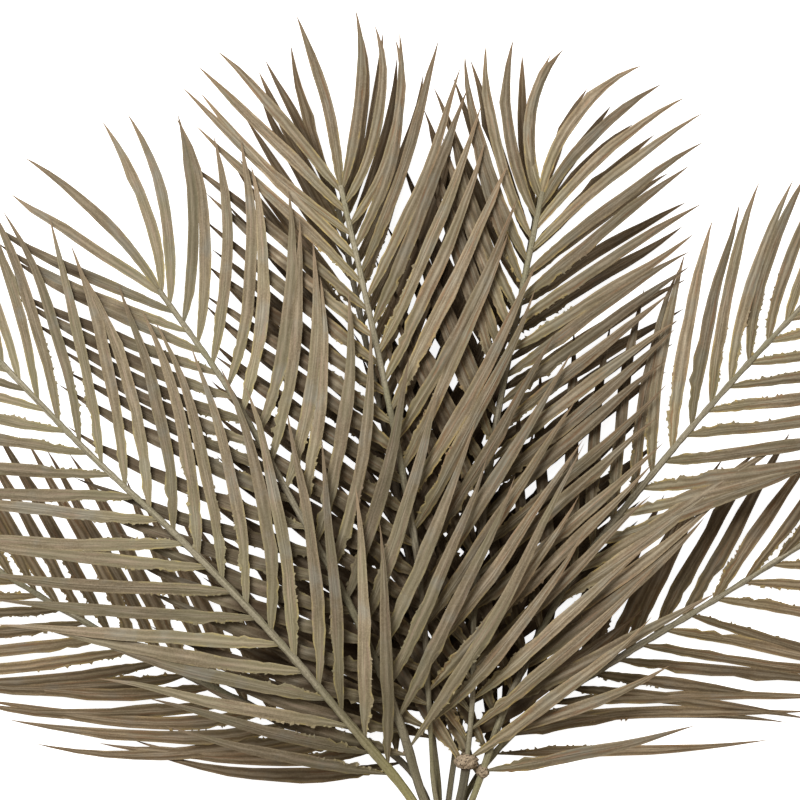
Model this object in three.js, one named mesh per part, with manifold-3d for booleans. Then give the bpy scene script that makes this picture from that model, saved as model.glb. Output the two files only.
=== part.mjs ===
// A bunch of dried areca palm fronds, tied with twine and lying on its back.
// Millimetres, +Z up. The origin is on the surface that the bunch lies on, under the middle of the
// tie. The stems run along Y through the tie, and the fronds fan out towards +Y.
import * as THREE from 'three';
import Module from 'manifold-3d';

const wasm = await Module();
wasm.setup();

// Stems, where they are tied: three rows of three, each row lying on the one under it
const stemRadius = 3.0;
const clearance = 0.3;
const twineThickness = 2.4;
const rowPitch = 2 * stemRadius + clearance;
const firstRow = twineThickness + clearance + stemRadius;
const straightHalf = 13;
const straightLead = 3;
const cutRestFrom = 15;
const cutRestTo = 90;
const splayMid = 0.5;
const splayMidShare = 0.35;

// Ribs: where they begin and end to taper, and how far apart their rings are where they rise from
// the tie and out in the fan
const ribSides = 6;
const tipRadius = 1.1;
const taperFrom = 0.1;
const taperTo = 1.02;
const riseStart = 22;
const riseSpacing = 23;
const riseEnd = 220;
const fanStart = 250;
const fanSpacing = 60;
const fanEndClear = 25;

// Fan: heights of the fronds over the surface, away from the tie
const groundClear = 5.5;
const layerPitch = 12;
const spreadFrom = 20;
const spreadTo = 210;
const droopFrom = 330;
const droopTo = 800;
const droopShare = 0.55;
const sinkTo = 600;

// Leaflets
const bladeWidth = 10.8;
const bladeThickness = 0.9;
const keelHeight = 1.2;
const ringStations = [0, 0.14, 0.66];
const ringWidths = [0.16, 1, 0.84];
const archHeight = 4.2;
const bankLimit = 16;
const angleJitter = 2.5;
const lengthJitter = 0.05;
const bendJitter = 6;
const sideStagger = 0.22;
const crowding = 1.15;
const lastRootInset = 4;
const endRootInset = 2;
const firstSeed = 101;

// Corners of the joined solids that lie closer than this are one corner
const weldDistance = 0.001;

// Each frond: its row and slot in the tie, its layer in the pile, where its stem is cut and how far
// that end splays, the bare stem before the first leaflet, the spacing of its leaflets on the left
// and on the right, and the plan route of its rib. For each side, at a few shares of the leafy
// stretch: a leaflet's angle to the rib, its length, and how far it bends towards the tip of the
// frond. The leaflet at the very end has the same three values, and slim narrows one side's leaflets.
const fronds = [
  {
    name: 'frond_right_low', row: 0, slot: 1, layer: 0,
    cut: -104, splay: 9, bare: 104, pitch: [30, 26], crowding: 0.8,
    slim: { right: 0.88 },
    route: [[20, 60], [49, 101], [92, 139], [157, 181], [257, 242], [372, 316]],
    left: [[0, 36, 170, 8], [0.5, 29, 185, 6], [1, 12, 130, 0]],
    right: [
      [0, 49, 228, 4], [0.05, 45, 255, -28], [0.1, 42, 237, -4], [0.17, 37, 255, -16], [0.24, 39, 205, 0],
      [0.3, 36, 150, 0], [0.37, 36, 245, 4], [0.53, 47, 235, -4], [1, 16, 135, 0],
    ],
    end: [3, 132, -6],
  },
  {
    name: 'frond_left_low', row: 0, slot: -1, layer: 1, sink: 1,
    cut: -112, splay: -8, bare: 100, pitch: [23, 24],
    slim: { right: 0.92 },
    route: [[-16, 60], [-47, 97], [-122, 119], [-207, 157], [-319, 215], [-454, 297]],
    left: [
      [0, 38, 215, 30], [0.06, 19, 205, 28], [0.11, 13, 225, 26], [0.16, 17, 240, 26],
      [0.25, 22, 240, 24], [0.6, 31, 232, 14], [1, 20, 165, 0],
    ],
    right: [[0, 44, 190, 8], [0.5, 36, 215, 8], [1, 20, 160, 0]],
    end: [2, 150, 6],
  },
  {
    name: 'frond_top_right_back', row: 0, slot: 0, layer: 2, sink: 2,
    cut: -97, splay: 2, bare: 104, pitch: [25, 25],
    route: [[5, 60], [16, 141], [24, 229], [40, 355], [58, 445], [80, 560]],
    left: [
      [0, 42, 185, 6], [0.64, 36, 200, 8], [0.86, 32, 195, 10],
      [0.95, 28, 175, 10], [1, 12, 135, 10],
    ],
    right: [
      [0, 44, 200, 4], [0.64, 48, 190, -2], [0.86, 46, 165, -6],
      [0.95, 35, 148, -12], [1, 22, 115, -16],
    ],
    end: [10, 120, -14],
  },
  {
    name: 'frond_top_left_back', row: 1, slot: -1, layer: 3, sink: 2,
    cut: -108, splay: -6, bare: 115, pitch: [25, 25],
    route: [[-4, 60], [-14, 141], [-27, 246], [-45, 348], [-67, 451], [-91, 566]],
    left: [
      [0, 64, 205, 8], [0.15, 58, 210, 8], [0.35, 48, 205, 8],
      [0.64, 34, 200, 6], [0.86, 22, 165, 2], [1, 12, 148, -6],
    ],
    right: [
      [0, 43, 190, 6], [0.1, 40, 190, 6], [0.64, 34, 205, 4],
      [0.91, 30, 175, 14], [1, 22, 160, 22],
    ],
    end: [-5, 148, -10],
  },
  {
    name: 'frond_right_high', row: 1, slot: 1, layer: 4,
    cut: -101, splay: 6, bare: 84, pitch: [25, 28],
    route: [[26, 60], [54, 141], [104, 241], [176, 335], [251, 421], [338, 513]],
    left: [
      [0, 40, 200, 8], [0.47, 31, 204, 14], [0.69, 29, 196, 18],
      [0.78, 25, 181, 32], [1, 12, 130, 6],
    ],
    right: [
      [0, 58, 195, 6], [0.05, 56, 155, 0], [0.11, 46, 190, 4], [0.18, 30, 210, 4], [0.28, 22, 215, 6],
      [0.38, 25, 220, 8], [0.46, 36, 215, 8], [0.56, 44, 205, 4], [0.82, 38, 180, 0], [1, 16, 140, 0],
    ],
    end: [-3, 130, 8],
  },
  {
    name: 'frond_top_right', row: 1, slot: 0, layer: 5,
    cut: -115, splay: 0, bare: 92, pitch: [23, 23],
    route: [[15, 60], [24, 141], [26, 229], [42, 365], [58, 451], [84, 577]],
    left: [
      [0, 40, 190, 6], [0.7, 30, 192, 10], [0.885, 28, 183, 24],
      [0.945, 26, 160, 28], [1, 2, 138, 60],
    ],
    right: [
      [0, 46, 206, 8], [0.35, 44, 213, 4], [0.75, 46, 188, 0],
      [0.9, 38, 192, -8], [0.965, 37, 168, -28], [1, 24, 148, -54],
    ],
    end: [-7, 126, -62],
  },
  {
    name: 'frond_top_left', row: 2, slot: 1, layer: 6,
    cut: -99, splay: 7, bare: 125, pitch: [25, 25],
    route: [[-7, 60], [-13, 146], [-20, 246], [-37, 348], [-60, 458], [-88, 582]],
    left: [
      [0, 60, 195, 6], [0.25, 52, 200, 6], [0.6, 42, 200, 4], [0.8, 36, 199, -4],
      [0.88, 32, 193, 10], [0.955, 35, 182, 0], [1, 25, 156, -8],
    ],
    right: [
      [0, 42, 205, 8], [0.3, 37, 238, 8], [0.75, 34, 225, 8], [0.82, 33, 216, 10],
      [0.88, 27, 208, 40], [0.96, 24, 160, 44], [1, 18, 152, 24],
    ],
    end: [-2, 155, 18],
  },
  {
    name: 'frond_left_high', row: 2, slot: 0, layer: 7,
    cut: -110, splay: 1, bare: 105, pitch: [25, 25],
    route: [[-6, 32], [-18, 60], [-38, 127], [-72, 211], [-124, 307], [-181, 407], [-242, 493]],
    left: [
      [0, 56, 205, 8], [0.25, 48, 215, 8], [0.5, 38, 215, 10],
      [0.82, 33, 200, 14], [0.96, 27, 180, 10], [1, 21, 162, 0],
    ],
    right: [
      [0, 46, 310, 10], [0.1, 48, 220, 8], [0.5, 36, 207, 22],
      [0.8, 33, 207, 30], [0.95, 32, 178, 30], [1, 17, 152, 32],
    ],
    end: [-10, 166, 26],
  },
  {
    name: 'frond_left_front', row: 2, slot: -1, layer: 8,
    cut: -103, splay: -8, bare: 94, pitch: [28, 28],
    slim: { left: 0.95, right: 0.93 },
    route: [[-14, 32], [-29, 60], [-64, 106], [-133, 190], [-217, 278], [-304, 359], [-386, 442]],
    left: [[0, 40, 205, 6], [0.12, 37, 212, 8], [0.3, 42, 235, 6], [0.7, 38, 205, 6], [1, 22, 170, 0]],
    right: [
      [0, 36, 210, 0], [0.15, 34, 245, 10], [0.35, 30, 240, 26],
      [0.6, 34, 212, 20], [0.75, 31, 226, 14], [1, 20, 165, 16],
    ],
    end: [0, 160, 6],
  },
];

// Tie: turns of twine round the stems, with a flat crest on each turn
const turnCount = 7;
const turnGroove = 0.7;
const crestFrom = 0.3;
const crestTo = 0.7;
const cutOverrun = 1;
const tieCornerPoints = 3;

const leafColours = ['#97897a', '#7f7a60'];
const twineColour = '#b29a6c';

function clampUnit(value) {
  return Math.min(1, Math.max(0, value));
}

function smoothStep(from, to, value) {
  const share = clampUnit((value - from) / (to - from));
  return share * share * (3 - 2 * share);
}

function mix(a, b, share) {
  return a + (b - a) * share;
}

function radians(degrees) {
  return (degrees * Math.PI) / 180;
}

// A seeded random draw between -1 and 1
function randomDraws(seed) {
  let state = seed;
  return () => {
    state = (state * 1664525 + 1013904223) % 4294967296;
    return (state / 4294967296) * 2 - 1;
  };
}

// Angle, length and bend at a share of the leafy stretch, between the chosen values
function between(keys, share) {
  let next = 1;
  while (next < keys.length - 1 && keys[next][0] < share) next += 1;
  const [low, high] = [keys[next - 1], keys[next]];
  const part = clampUnit((share - low[0]) / (high[0] - low[0]));
  return low.slice(1).map((value, i) => mix(value, high[i + 1], part));
}

// How far the pile has opened at a place in plan: 0 in the tie and along the cut stems, 1 in the fan
function openness(x, y) {
  return y < 0 ? 0 : smoothStep(spreadFrom, spreadTo, Math.hypot(x, y));
}

function droop(x, y) {
  return 1 - droopShare * smoothStep(droopFrom, droopTo, Math.hypot(x, y));
}

// Height of a frond's own layer over a place in plan. The layers never meet, so fronds don't cross.
function layerHeight(frond, x, y) {
  const lowered = (twineThickness + clearance) * smoothStep(cutRestFrom, cutRestTo, -y);
  const tied = firstRow + frond.row * rowPitch - lowered;
  const low = smoothStep(droopFrom, sinkTo, Math.hypot(x, y));
  const layers = frond.layer - (frond.sink ?? 0) * low;
  const open = groundClear * (1 - low) + layers * layerPitch * droop(x, y);
  return mix(tied, open, openness(x, y));
}

// A point given in plan with its height over the frond's layer. What would pass under the surface
// lies on it, and a blade's upper side stays its own thickness above.
function place(frond, x, y, height, lowest) {
  return new THREE.Vector3(x, y, Math.max(lowest, layerHeight(frond, x, y) + height));
}

// The plan route of the whole stem and rib, from the cut end to the tip
function ribCurve(frond) {
  const slotX = frond.slot * rowPitch;
  const points = [
    [slotX + frond.splay, frond.cut],
    [slotX + frond.splay * splayMidShare, frond.cut * splayMid],
    [slotX, -straightHalf],
    [slotX, -straightHalf + straightLead],
    [slotX, straightHalf - straightLead],
    [slotX, straightHalf],
    ...frond.route,
  ].map(([x, y]) => new THREE.Vector3(x, y, 0));
  const curve = new THREE.CatmullRomCurve3(points, false, 'centripetal');
  curve.arcLengthDivisions = 400;
  return curve;
}

function solidFrom(positions, indices) {
  return new wasm.Manifold(new wasm.Mesh({
    numProp: 3,
    vertProperties: new Float32Array(positions.flatMap((p) => [p.x, p.y, p.z])),
    triVerts: new Uint32Array(indices),
  }));
}

// A closed solid through rings of equally many points. With a tip, the last ring closes in one point.
// The quads of the upper and the under side are split along the same diagonal.
function loft(rings, tip) {
  const size = rings[0].length;
  const positions = rings.flat();
  const indices = [];
  for (let i = 0; i < rings.length - 1; i += 1) {
    for (let k = 0; k < size; k += 1) {
      const a = i * size + k;
      const b = i * size + ((k + 1) % size);
      const upper = k < size / 2;
      if (upper) indices.push(a, b, b + size, a, b + size, a + size);
      else indices.push(a, b, a + size, b, b + size, a + size);
    }
  }
  for (let k = 1; k < size - 1; k += 1) indices.push(0, k + 1, k);
  const last = (rings.length - 1) * size;
  if (tip) {
    positions.push(tip);
    const point = positions.length - 1;
    for (let k = 0; k < size; k += 1) indices.push(last + k, last + ((k + 1) % size), point);
  } else {
    for (let k = 1; k < size - 1; k += 1) indices.push(last, last + k, last + k + 1);
  }
  return solidFrom(positions, indices);
}

// Shares of the route where the rib has a ring: close together in the tie, wide apart in the fan
function ribStations(frond, curve) {
  const total = curve.getLength();
  const tied = -frond.cut;
  const stations = [0, tied / 2, tied - straightHalf, tied + straightHalf - straightLead];
  for (let at = tied + riseStart; at < tied + riseEnd; at += riseSpacing) stations.push(at);
  for (let at = tied + fanStart; at < total - fanEndClear; at += fanSpacing) stations.push(at);
  return [...stations, total].map((at) => at / total);
}

function ribRadius(share) {
  return mix(stemRadius, tipRadius, smoothStep(taperFrom, taperTo, share));
}

function ribSolid(frond, curve) {
  const rings = ribStations(frond, curve).map((share) => {
    const at = curve.getPointAt(share);
    const heading = curve.getTangentAt(share);
    const radius = ribRadius(share);
    const ring = [];
    for (let k = 0; k < ribSides; k += 1) {
      const turn = (2 * Math.PI * (k + 0.5)) / ribSides;
      const across = radius * Math.cos(turn);
      const x = at.x - heading.y * across;
      const y = at.y + heading.x * across;
      const centre = Math.max(radius, layerHeight(frond, at.x, at.y));
      ring.push(new THREE.Vector3(x, y, centre + radius * Math.sin(turn)));
    }
    return ring;
  });
  return loft(rings);
}

// One leaflet: a keeled blade, narrow at the root, arched over its length and tapering to a point
function leafletSolid(frond, root, angle, length, bend, bank, slim) {
  const rings = [];
  const tipAt = { x: root.x, y: root.y };
  const steps = [...ringStations, 1];
  const relief = (x, y) => openness(x, y) * droop(x, y);
  let [x, y] = [root.x, root.y];
  steps.forEach((share, i) => {
    const before = i === 0 ? 0 : steps[i - 1];
    const heading = angle + bend * (0.5 - (share + before) / 2);
    x += Math.sin(heading) * length * (share - before);
    y += Math.cos(heading) * length * (share - before);
    if (i === steps.length - 1) {
      [tipAt.x, tipAt.y] = [x, y];
      return;
    }
    const scale = relief(x, y);
    const half = (bladeWidth / 2) * ringWidths[i] * slim;
    const lift = archHeight * Math.sin(Math.PI * share) * scale;
    const keel = keelHeight * ringWidths[i];
    const edge = (side) => place(
      frond,
      x + Math.cos(heading) * half * side,
      y - Math.sin(heading) * half * side,
      lift + Math.tan(bank) * half * side * scale,
      0,
    );
    const over = place(frond, x, y, lift + keel, bladeThickness);
    const under = place(frond, x, y, lift + keel - bladeThickness, 0);
    rings.push([edge(-1), over, edge(1), under]);
  });
  const tip = place(frond, tipAt.x, tipAt.y, 0, 0);
  return loft(rings, tip);
}

function frondSolid(frond, seed) {
  const curve = ribCurve(frond);
  const draw = randomDraws(seed);
  const total = curve.getLength();
  const leafy = total - Math.abs(frond.cut) - frond.bare;
  let solid = ribSolid(frond, curve);
  const addLeaflet = (fromTip, angle, length, bend, bank, slim) => {
    const at = 1 - fromTip / total;
    const root = curve.getPointAt(at);
    const tangent = curve.getTangentAt(at);
    const heading = Math.atan2(tangent.x, tangent.y) + angle;
    solid = solid.add(leafletSolid(frond, root, heading, length, bend, bank, slim));
  };
  ['left', 'right'].forEach((sideName, k) => {
    const side = sideName === 'left' ? -1 : 1;
    const slim = frond.slim?.[sideName] ?? 1;
    const count = Math.round(leafy / frond.pitch[k]);
    for (let i = 0; i <= count; i += 1) {
      const even = clampUnit((i + side * sideStagger) / count);
      const share = 1 - (1 - even) ** (frond.crowding ?? crowding);
      const [angle, length, bend] = between(frond[sideName], share);
      const turned = side * radians(angle + angleJitter * draw());
      const long = length * (1 + lengthJitter * draw());
      const curl = side * radians(bend + bendJitter * draw());
      const bank = radians(bankLimit * draw());
      addLeaflet(leafy * (1 - share) + lastRootInset, turned, long, curl, bank, slim);
    }
  });
  const [angle, length, bend] = frond.end;
  addLeaflet(endRootInset, radians(angle), length, radians(bend), 0, 1);
  return solid;
}

// The outline of the tie round the stems, grown outwards by an amount, with round corners
function tieRing(y, grow) {
  const half = 1.5 * rowPitch - clearance / 2 - stemRadius;
  const centre = firstRow + rowPitch;
  const radius = stemRadius + clearance + grow;
  const ring = [];
  for (let corner = 0; corner < 4; corner += 1) {
    for (let k = 0; k < tieCornerPoints; k += 1) {
      const turn = (Math.PI / 2) * (corner + k / (tieCornerPoints - 1));
      const cornerX = corner === 0 || corner === 3 ? half : -half;
      const cornerZ = corner < 2 ? half : -half;
      ring.push(new THREE.Vector3(
        cornerX + radius * Math.cos(turn),
        y,
        centre + cornerZ + radius * Math.sin(turn),
      ));
    }
  }
  return ring;
}

function tieSolid() {
  const width = turnCount * twineThickness;
  const outside = [];
  for (let turn = 0; turn < turnCount; turn += 1) {
    const start = width / 2 - turn * twineThickness;
    outside.push(tieRing(start, twineThickness - turnGroove));
    outside.push(tieRing(start - crestFrom * twineThickness, twineThickness));
    outside.push(tieRing(start - crestTo * twineThickness, twineThickness));
  }
  outside.push(tieRing(-width / 2, twineThickness - turnGroove));
  const hole = [tieRing(width / 2 + cutOverrun, 0), tieRing(-width / 2 - cutOverrun, 0)];
  return loft(outside).subtract(loft(hole));
}

// The triangles left when corners closer than the weld distance become one corner. Triangles that
// collapse are dropped, and so are two that come to lie back to back.
function weldedTriangles(positions, triangles) {
  const corner = (i) => new THREE.Vector3().fromArray(positions, 3 * i);
  const kept = [];
  const keptAs = [];
  for (let i = 0; i < positions.length / 3; i += 1) {
    const here = corner(i);
    const near = kept.find((j) => corner(j).distanceTo(here) < weldDistance);
    if (near === undefined) kept.push(i);
    keptAs.push(near ?? i);
  }
  const faces = new Map();
  for (let i = 0; i < triangles.length; i += 3) {
    const face = [0, 1, 2].map((k) => keptAs[triangles[i + k]]);
    const corners = [...new Set(face)].sort((a, b) => a - b);
    if (corners.length < 3) continue;
    const key = corners.join(' ');
    if (faces.has(key)) faces.delete(key);
    else faces.set(key, face);
  }
  return [...faces.values()].flat();
}

function meshFrom(name, solid, colour) {
  const result = solid.getMesh();
  const geometry = new THREE.BufferGeometry();
  geometry.setAttribute('position', new THREE.BufferAttribute(result.vertProperties, 3));
  geometry.setIndex(weldedTriangles(result.vertProperties, result.triVerts));
  const material = new THREE.MeshStandardMaterial({ color: colour, roughness: 0.85, metalness: 0 });
  const mesh = new THREE.Mesh(geometry, material);
  mesh.name = name;
  return mesh;
}

const bunch = new THREE.Group();
fronds.forEach((frond, i) => {
  bunch.add(meshFrom(frond.name, frondSolid(frond, firstSeed + i), leafColours[i % 2]));
});
bunch.add(meshFrom('tie', tieSolid(), twineColour));

export default bunch;
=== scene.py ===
# A bunch of dried areca palm fronds tied with twine, lying on its back and seen from above.
# The tables hold millimetres and degrees, except that the floor and the light are in metres. +Z is up.
import math
import random

import bpy
import numpy as np
from mathutils import Euler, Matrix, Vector, noise
from mathutils.bvhtree import BVHTree


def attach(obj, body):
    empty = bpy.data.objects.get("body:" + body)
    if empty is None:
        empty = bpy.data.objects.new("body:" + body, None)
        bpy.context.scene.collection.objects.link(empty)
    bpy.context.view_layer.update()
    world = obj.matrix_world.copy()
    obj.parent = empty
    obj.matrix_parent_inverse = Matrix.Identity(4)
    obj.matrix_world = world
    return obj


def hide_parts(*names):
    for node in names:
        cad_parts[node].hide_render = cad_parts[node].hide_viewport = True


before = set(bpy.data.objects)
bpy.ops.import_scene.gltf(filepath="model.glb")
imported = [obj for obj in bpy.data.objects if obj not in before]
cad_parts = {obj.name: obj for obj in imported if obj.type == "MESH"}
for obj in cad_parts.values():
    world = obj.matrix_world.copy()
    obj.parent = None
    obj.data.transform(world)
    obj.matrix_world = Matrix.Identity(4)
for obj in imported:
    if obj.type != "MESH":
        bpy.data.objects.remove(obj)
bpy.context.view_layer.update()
print("Frame loaded:", len(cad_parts), "nodes")

mm = 0.001
smoothUpTo = math.radians(60)
anyTurn = (0, 6)


# Small tools for the steps below

def selectNothing():
    if bpy.context.object and bpy.context.object.mode != "OBJECT":
        bpy.ops.object.mode_set(mode="OBJECT")
    bpy.ops.object.select_all(action="DESELECT")


def selectOnly(parts):
    selectNothing()
    for part in parts:
        part.select_set(True)
    bpy.context.view_layer.objects.active = parts[0]


def joinParts(parts, name):
    selectOnly(parts)
    bpy.ops.object.join()
    joined = bpy.context.object
    joined.name = name
    joined.data.name = name
    return joined


def verticesOf(thing):
    flat = np.zeros(len(thing.data.vertices) * 3)
    thing.data.vertices.foreach_get("co", flat)
    return flat.reshape(-1, 3)


# A new attribute of a mesh, with one number for all corners or one for each
def setNumbers(mesh, name, numbers):
    layer = mesh.attributes.new(name, "FLOAT", "POINT")
    layer.data.foreach_set("value", np.full(len(mesh.vertices), numbers, float))


# A copy of a master with its own mesh, its corners in new places and numbers for its attributes
def copyReshaped(master, name, places, numbers, material):
    mesh = master.data.copy()
    mesh.vertices.foreach_set("co", places.ravel())
    for attributeName, number in numbers.items():
        setNumbers(mesh, attributeName, number)
    mesh.materials.clear()
    mesh.materials.append(material)
    piece = bpy.data.objects.new(name, mesh)
    bpy.context.scene.collection.objects.link(piece)
    return piece


def smoothStep(low, high, value):
    share = np.clip((value - low) / (high - low), 0, 1)
    return share * share * (3 - 2 * share)


def mix(a, b, share):
    return a + (b - a) * share


def unitRows(rows):
    return rows / np.linalg.norm(rows, axis=1)[:, None]


# Rows of numbers read off between the places where they are known
def rowsAt(wanted, known, rows):
    return np.stack([np.interp(wanted, known, rows[:, k]) for k in range(rows.shape[1])], axis=-1)


# Camera, straight above the fan with a long lens
cameraSetup = {"lens": 200, "sensorWidth": 36, "aim": (-37.4, 399.5, 55), "widthSeen": 680}


def placeCamera():
    setup = cameraSetup
    away = setup["widthSeen"] * setup["lens"] / setup["sensorWidth"]
    x, y, z = setup["aim"]
    bpy.ops.object.camera_add(location=(x * mm, y * mm, (z + away) * mm), rotation=(0, 0, 0))
    camera = bpy.context.object
    camera.name = "photoCamera"
    camera.data.lens = setup["lens"]
    camera.data.sensor_width = setup["sensorWidth"]
    bpy.context.scene.camera = camera


selectNothing()
placeCamera()
print("Camera placed")


# Small tools for materials

# Feed a node's sockets: what comes from another node is linked, and numbers and colours are set.
# A colour has three numbers in the tables and gets its alpha here.
def feed(tree, node, values):
    for key, value in values.items():
        if isinstance(value, bpy.types.NodeSocket):
            tree.links.new(value, node.inputs[key])
        elif value is not None:
            node.inputs[key].default_value = (*value, 1) if isinstance(value, tuple) else value


# Add a node, make its settings, feed its sockets and give back the output that is used
def addNode(tree, kind, values, output=0, **settings):
    node = tree.nodes.new("ShaderNode" + kind)
    for name, setting in settings.items():
        setattr(node, name, setting)
    feed(tree, node, values)
    return node.outputs[output]


def addMath(tree, operation, first, second=None):
    return addNode(tree, "Math", {0: first, 1: second}, operation=operation)


def multiply(tree, first, second):
    return addMath(tree, "MULTIPLY", first, second)


def addRange(tree, value, low, high, outLow=0, outHigh=1, kind="SMOOTHSTEP"):
    values = {"Value": value, "From Min": low, "From Max": high, "To Min": outLow, "To Max": outHigh}
    return addNode(tree, "MapRange", values, "Result", interpolation_type=kind)


def addVector(tree, x, y, z):
    return addNode(tree, "CombineXYZ", {0: x, 1: y, 2: z})


def splitMap(tree, source):
    outputs = addNode(tree, "SeparateXYZ", {0: source}).node.outputs
    return outputs[0], outputs[1]


def addNoise(tree, place, scale, detail, roughness):
    values = {"Vector": place, "Scale": scale, "Detail": detail, "Roughness": roughness}
    return addNode(tree, "TexNoise", values, "Fac")


# A mask from noise with a scale, a detail and a roughness. Its ends are where it starts and is full.
def addMask(tree, place, mask):
    return addRange(tree, addNoise(tree, place, *mask["noise"]), *mask["ends"])


def addColours(tree, share, first, second):
    return addNode(tree, "Mix", {0: share, 6: first, 7: second}, 2, data_type="RGBA")


def attributeOf(tree, name):
    return addNode(tree, "Attribute", {}, "Fac", attribute_name=name)


# A node group. An input without a value of its own is a vector, and all the rest are floats.
def startGroup(name, inputs, outputs):
    group = bpy.data.node_groups.new(name, "ShaderNodeTree")
    for socketName, value in inputs.items():
        kind = "NodeSocketVector" if value is None else "NodeSocketFloat"
        socket = group.interface.new_socket(socketName, in_out="INPUT", socket_type=kind)
        if value is not None:
            socket.default_value = value
    for socketName in outputs:
        group.interface.new_socket(socketName, in_out="OUTPUT", socket_type="NodeSocketFloat")
    return group, group.nodes.new("NodeGroupInput"), group.nodes.new("NodeGroupOutput")


def placeGroup(tree, group, values):
    outputs = addNode(tree, "Group", values, node_tree=group).node.outputs
    return {socket.name: socket for socket in outputs}


# Floor and light: a white table that glows a little, an even sky and one large soft key light
floorLook = {
    "size": 14, "drop": 0.0004, "colour": (0.9, 0.9, 0.895), "roughness": 0.9, "specular": 0.1,
    "glow": 0.9, "glowColour": (1, 1, 1),
}
lightSetup = {
    "sky": 0.4, "skyColour": (1.0, 0.88, 0.74),
    "keyPower": 92, "keySize": 1.2, "keyPlace": (-1.0, 1.5, 2.5), "keyAim": (-0.04, 0.36, 0),
}


def makeFloor():
    look = floorLook
    selectNothing()
    bpy.ops.mesh.primitive_plane_add(size=look["size"], location=(0, 0, -look["drop"]))
    floor = bpy.context.object
    floor.name = "paleFloor"
    material = bpy.data.materials.new("paleFloor")
    material.use_nodes = True
    tree = material.node_tree
    seen = addNode(tree, "LightPath", {}, "Is Camera Ray")
    feed(tree, tree.nodes["Principled BSDF"], {
        "Base Color": look["colour"], "Roughness": look["roughness"], "Specular IOR Level": look["specular"],
        "Emission Color": look["glowColour"], "Emission Strength": multiply(tree, seen, look["glow"]),
    })
    floor.data.materials.append(material)


def makeLights():
    setup = lightSetup
    sky = bpy.data.worlds.new("evenSky")
    sky.use_nodes = True
    background = sky.node_tree.nodes["Background"]
    feed(sky.node_tree, background, {"Color": setup["skyColour"], "Strength": setup["sky"]})
    bpy.context.scene.world = sky
    bpy.ops.object.light_add(type="AREA", location=setup["keyPlace"])
    key = bpy.context.object
    key.name = "softKey"
    key.data.shape = "SQUARE"
    key.data.size = setup["keySize"]
    key.data.energy = setup["keyPower"]
    toAim = [b - a for a, b in zip(setup["keyPlace"], setup["keyAim"])]
    key.rotation_euler = (
        math.atan2(math.hypot(toAim[0], toAim[1]), -toAim[2]),
        0,
        math.atan2(toAim[1], toAim[0]) - math.pi / 2,
    )


makeFloor()
makeLights()
bpy.context.scene.view_settings.view_transform = "Standard"
print("Floor and lights made")


# Shader groups: each gives masks that change over the surface. A leaf's own draw shifts its noise.
drawShift = {"fibre": 71.0, "rim": 53.0, "patches": 0.9}


# Lengthwise fibre: fine streaks, broader bands and longer rusty ones that follow a leaflet or a rib
fibreMasks = {
    "Streaks": {"noise": (1.6, 5, 0.65), "ends": (0.32, 0.68), "stretch": 1, "shift": 0},
    "Bands": {"noise": (0.5, 2, 0.5), "ends": (0.36, 0.64), "stretch": 1, "shift": 9},
    "Rust": {"noise": (1.0, 3, 0.6), "ends": (0.52, 0.7), "stretch": 0.45, "shift": 31},
}


def makeFibreGroup():
    group, entry, result = startGroup(
        "lengthwiseFibre", {"Map": None, "Draw": 0.0, "Fineness": 6.0, "Stretch": 3.0}, fibreMasks)
    across, along = splitMap(group, entry.outputs["Map"])
    across = multiply(group, across, entry.outputs["Fineness"])
    along = multiply(group, along, entry.outputs["Stretch"])
    draw = multiply(group, entry.outputs["Draw"], drawShift["fibre"])
    for name, mask in fibreMasks.items():
        stretched = multiply(group, along, mask["stretch"])
        place = addVector(group, across, stretched, addMath(group, "ADD", draw, mask["shift"]))
        group.links.new(addMask(group, place, mask), result.inputs[name])
    return group


# Worn rim and painted light: the torn and bleached edge of a leaflet, mostly near its root, then painted
# shade on either side of its middle, a painted line along its crease, dark on folded leaflets and pale on
# the rest, and a painted highlight on its ridge. Pairs are places across a leaflet, from 0 at its middle to
# 1 at its edge.
rimAndPaintedLightShape = {
    "edgeTo": 0.9, "fadeFrom": 0.02, "wander": 0.5, "wanderStep": 6, "wanderNoise": (1.0, 2, 0.55),
    "margin": (0.76, 1.04), "rising": (0.08, 0.45), "falling": (0.5, 0.86),
    "crease": (0, 0.14), "ridge": (0.05, 0.5), "patchStep": 14,
    "patches": {"noise": (1.0, 3, 0.6), "ends": (0.46, 0.62)},
    "bleached": {"noise": (0.7, 2, 0.55), "ends": (0.4, 0.6, 0.15, 1)},
}


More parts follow.
